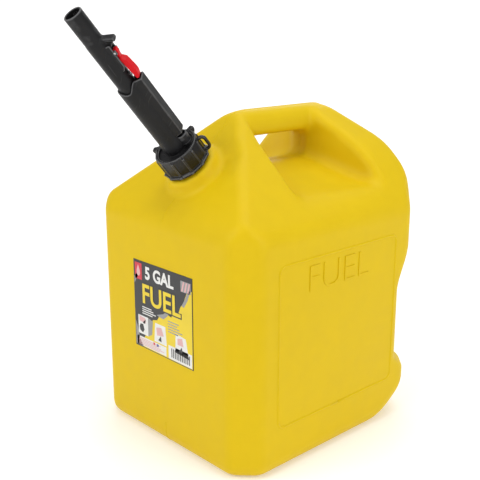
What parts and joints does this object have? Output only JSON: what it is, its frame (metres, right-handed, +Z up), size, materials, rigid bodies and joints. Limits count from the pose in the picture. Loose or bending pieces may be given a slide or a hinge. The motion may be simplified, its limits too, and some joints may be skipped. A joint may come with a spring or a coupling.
{
  "type": "fuel can",
  "caption": "Blow-moulded plastic fuel can with a moulded carrying handle and a screw-on push-to-pour spout held by a ring collar, with a red lock lever.",
  "frame": {"origin": "middle of the base, on the surface it stands on", "axes": "+Z up, front with the label and spout towards -Y, +X to the viewer's right"},
  "size_m": [0.259, 0.3874, 0.4764],
  "materials": {
    "tank_plastic": "satin moulded polyethylene",
    "label_vinyl": "printed gloss vinyl",
    "collar_plastic": "semi-gloss moulded",
    "spout_plastic": "fine satin moulded",
    "lever_plastic": "satin moulded",
    "seal_rubber": "matte",
    "spring_steel": "drawn wire",
    "arrester_steel": "pressed sheet"
  },
  "bodies": {
    "tank": {"tank_body": "tank_plastic", "front_label": "label_vinyl"},
    "gasket": {"neck_gasket": "seal_rubber"},
    "collar": {"collar": "collar_plastic"},
    "spout": {"spout_housing": "spout_plastic", "vent_plug": "collar_plastic", "wiper_ring": "seal_rubber", "flame_arrester": "arrester_steel", "spring_washer": "arrester_steel", "return_spring": "spring_steel"},
    "nozzle": {"nozzle_tube": "spout_plastic", "nozzle_oring": "seal_rubber", "vent_tube": "spout_plastic", "stem_spider": "spout_plastic", "valve_stem": "spring_steel", "valve_disc": "collar_plastic", "valve_seal": "seal_rubber", "stem_clip": "spring_steel", "lock_pin": "spring_steel", "lock_spring": "spring_steel"},
    "lock": {"lock_lever": "lever_plastic"}
  },
  "joints": [
    {"name": "spout_lift", "type": "slide", "parent": "tank", "child": "gasket", "axis": [0, -0.6535, 0.7569], "range_m": [0, 0.015]},
    {"name": "collar_turn", "type": "hinge", "parent": "gasket", "child": "collar", "pos_m": [0, -0.11698, 0.33149], "axis": [0, -0.6535, 0.7569], "range_deg": [0, 1080]},
    {"name": "spout_swivel", "type": "hinge", "parent": "gasket", "child": "spout", "pos_m": [0, -0.11698, 0.33149], "axis": [0, -0.6535, 0.7569], "range_deg": [-180, 180]},
    {"name": "nozzle_slide", "type": "slide", "parent": "spout", "child": "nozzle", "axis": [0, 0.6535, -0.7569], "range_m": [0, 0.012], "stiffness_N_per_m": 350, "springref_m": -0.01, "deforming": ["return_spring"]},
    {"name": "lock_press", "type": "hinge", "parent": "nozzle", "child": "lock", "pos_m": [0.00958, -0.19844, 0.43687], "axis": [-0.6018, 0.6045, 0.5219], "range_deg": [0, 8], "deforming": ["lock_spring"]}
  ],
  "couplings": [
    {"joint": "spout_lift", "follows": "collar_turn", "m_per_rad": 0.00079577},
    {"joint": "lock_press", "follows": "nozzle_slide", "rad_per_m": 11.636}
  ]
}
